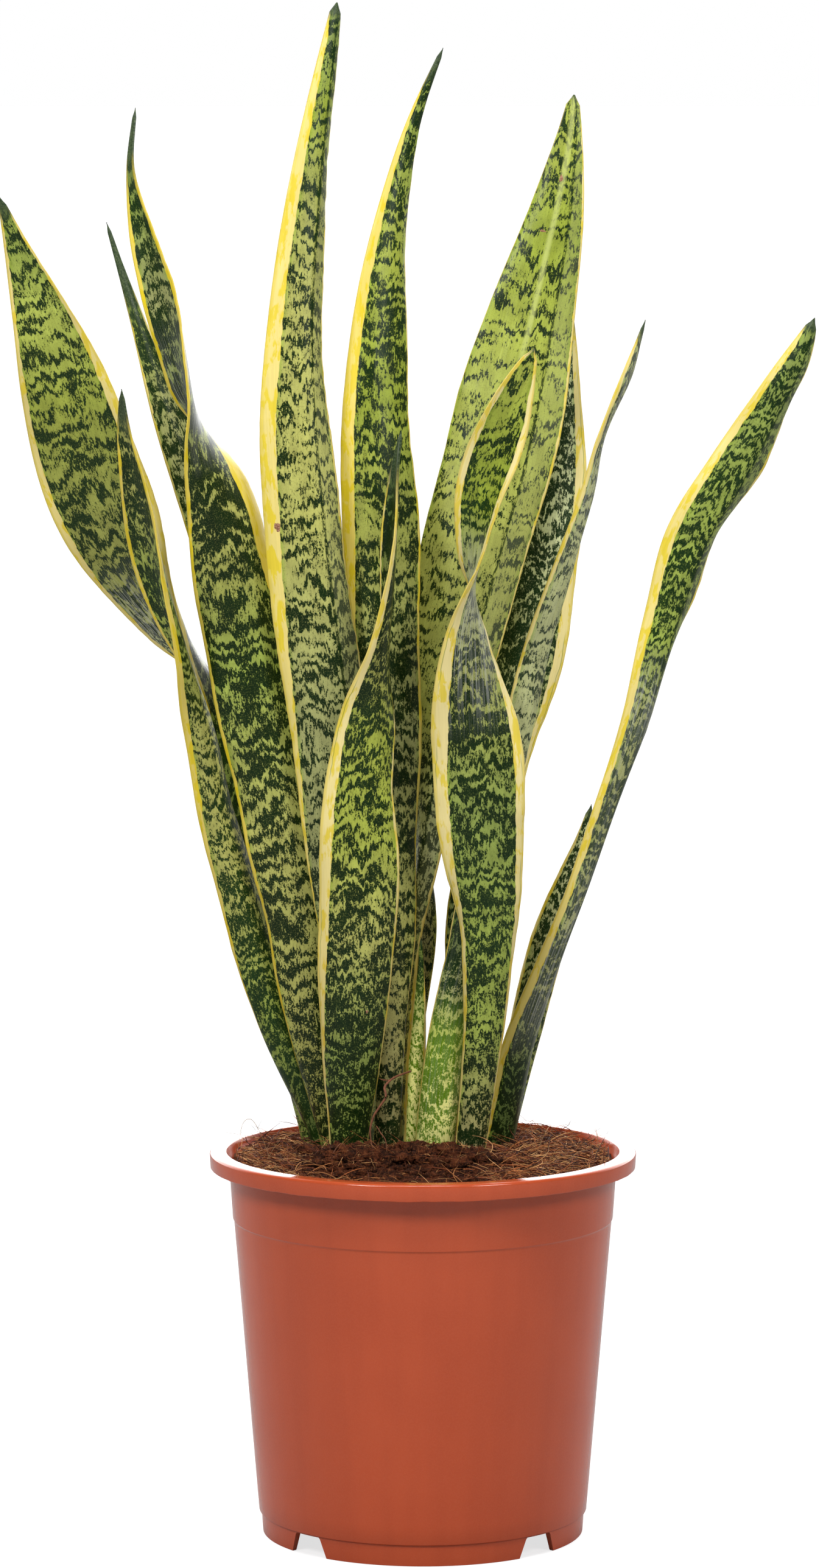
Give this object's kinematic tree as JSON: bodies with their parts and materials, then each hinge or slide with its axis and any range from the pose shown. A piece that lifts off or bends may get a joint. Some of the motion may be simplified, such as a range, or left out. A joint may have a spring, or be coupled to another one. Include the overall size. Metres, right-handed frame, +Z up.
{
  "type": "potted snake plant",
  "caption": "Potted snake plant: stiff upright sword leaves, dark-banded green with yellow margins, standing in soil in a round plastic nursery pot with a turned-down rim",
  "frame": {"origin": "On the floor under the middle of the whole plant's spread; the pot's own axis stands 5.5 mm towards +X from it", "axes": "+Z is up; the pictured front looks along +Y, with +X to the right"},
  "size_m": [0.3996, 0.21, 0.7526],
  "materials": {
    "pot_plastic": "moulded terracotta-brown plastic with a soft satin gloss",
    "soil": "loose dark coir and peat, matt, with tan fibres",
    "rhizome": "pale orange-tan root skin",
    "leaf": "leathery waxed leaf, light green with dark zigzag cross bands and yellow margins"
  },
  "bodies": {
    "root": {"pot": "pot_plastic", "soil": "soil", "rhizome": "rhizome", "leaf_far_left": "leaf", "leaf_left_front": "leaf", "leaf_left_back": "leaf", "leaf_left_twisted": "leaf", "leaf_tallest": "leaf", "leaf_tall_centre": "leaf", "leaf_front_centre": "leaf", "leaf_broad_right": "leaf", "leaf_right_back": "leaf", "leaf_right_twisted": "leaf", "leaf_right_narrow": "leaf", "leaf_right_leaning": "leaf", "leaf_right_short": "leaf", "leaf_young": "leaf"}
  },
  "joints": []
}
